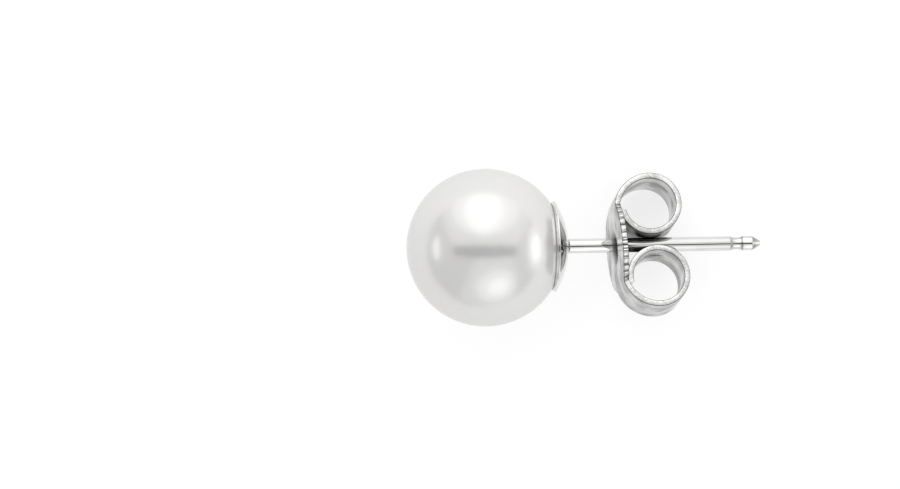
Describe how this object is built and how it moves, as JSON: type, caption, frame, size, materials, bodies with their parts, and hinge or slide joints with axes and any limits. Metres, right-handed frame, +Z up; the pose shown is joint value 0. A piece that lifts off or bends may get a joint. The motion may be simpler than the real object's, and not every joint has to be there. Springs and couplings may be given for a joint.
{
  "type": "pearl stud earring with butterfly clutch",
  "caption": "Round pearl on a domed cup and straight ear post, with a scrolled butterfly clutch that slides on the post and holds by friction.",
  "frame": {"origin": "centre of the footprint of the resting earring, on the surface that it lies on", "axes": "+X from the pearl along the post to its tip, seen from above, +Z up from the surface. The earring lies on its pearl, the side of the clutch's plate and a corner of one scroll."},
  "size_m": [0.0178, 0.008, 0.008],
  "materials": {
    "nacre": "satin gloss",
    "polished_white_metal": "polished",
    "spring_white_metal": "polished, satin on the plate"
  },
  "bodies": {
    "stud": {"pearl": "nacre", "post_setting": "polished_white_metal"},
    "clutch_body": {"clutch": "spring_white_metal"}
  },
  "joints": [
    {"name": "clutch_slide", "type": "slide", "parent": "stud", "child": "clutch_body", "axis": [0.9811, 0, -0.1935], "range_m": [-0.0022, 0.0076]}
  ]
}
